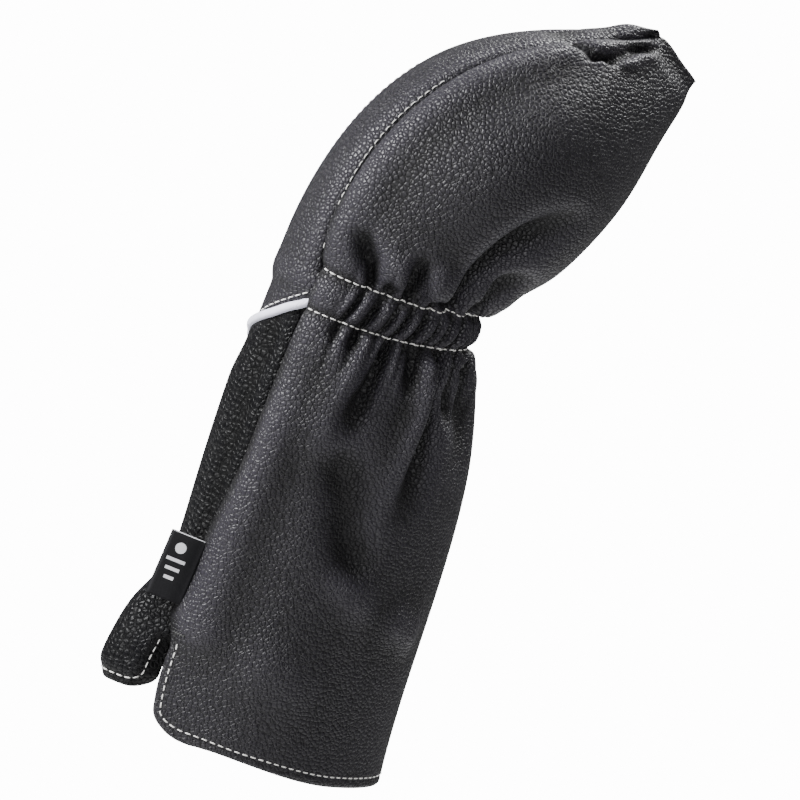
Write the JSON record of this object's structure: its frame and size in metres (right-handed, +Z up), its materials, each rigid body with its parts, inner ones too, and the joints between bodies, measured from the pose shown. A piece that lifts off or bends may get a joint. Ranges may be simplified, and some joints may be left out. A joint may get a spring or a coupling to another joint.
{
  "type": "driver_head_cover",
  "caption": "Sock-shaped golf driver head cover in pebbled synthetic leather, with an elastic waist, a piped front strip, a vented mouth and a leaning head pocket.",
  "frame": {"origin": "middle of the mouth, in the plane of the hem, where the shaft of the club leaves the cover", "axes": "+Z up the skirt from the mouth to the waist, -Y to the front strip and tongue, +Y to the side the head pocket leans to, +X to the side with the woven label"},
  "size_m": [0.0936, 0.1875, 0.3503],
  "materials": {
    "charcoal_leather": "pebbled, satin",
    "black_leather": "pebbled, semi gloss",
    "satin_piping": "satin bias tape",
    "piping_cord": "twisted cotton cord",
    "thread": "twisted polyester sewing thread",
    "knit_lining": "brushed knit",
    "elastic": "woven elastic tape",
    "woven_label": "woven damask ribbon"
  },
  "bodies": {
    "skirt": {"bar_tack_left": "thread", "bar_tack_right": "thread", "front_lining": "knit_lining", "front_strip": "black_leather", "hem_thread_left": "thread", "hem_thread_right": "thread", "piping_core": "piping_cord", "piping_cover": "satin_piping", "piping_thread": "thread", "skirt_lining_left": "knit_lining", "skirt_lining_right": "knit_lining", "skirt_panel_left": "charcoal_leather", "skirt_panel_right": "charcoal_leather", "tongue_fold": "black_leather", "waist_elastic": "elastic", "waist_front_lining": "knit_lining", "waist_lining": "knit_lining", "waist_panel_left": "charcoal_leather", "waist_panel_right": "charcoal_leather", "waist_strip": "charcoal_leather", "waist_thread_lower_left": "thread", "waist_thread_lower_right": "thread"},
    "head": {"crown_lining": "knit_lining", "crown_strip": "charcoal_leather", "crown_thread_left": "thread", "crown_thread_right": "thread", "head_lining_left": "knit_lining", "head_lining_right": "knit_lining", "head_panel_left": "charcoal_leather", "head_panel_right": "charcoal_leather", "waist_thread_upper_left": "thread", "waist_thread_upper_right": "thread"},
    "tongue": {"tongue": "black_leather", "tongue_facing": "knit_lining", "tongue_thread": "thread"},
    "label": {"woven_label": "woven_label"}
  },
  "joints": [
    {"name": "neck_flex", "type": "hinge", "parent": "skirt", "child": "head", "pos_m": [0, -0.02, 0.204], "axis": [1, 0, 0], "range_deg": [-8, 20], "stiffness_Nm_per_rad": 1, "deforming": ["waist_panel_right", "waist_panel_left", "waist_strip", "waist_elastic", "waist_lining", "waist_front_lining", "piping_thread"]},
    {"name": "tongue_flex", "type": "hinge", "parent": "skirt", "child": "tongue", "pos_m": [0, -0.07319, 0.04455], "axis": [1, 0, 0], "range_deg": [-15, 15], "stiffness_Nm_per_rad": 0.02, "deforming": ["tongue_fold"]},
    {"name": "label_flap", "type": "hinge", "parent": "skirt", "child": "label", "pos_m": [0.01721, -0.05989, 0.07562], "axis": [0.0267, 0.096, 0.995], "range_deg": [-35, 80], "stiffness_Nm_per_rad": 0.002}
  ]
}
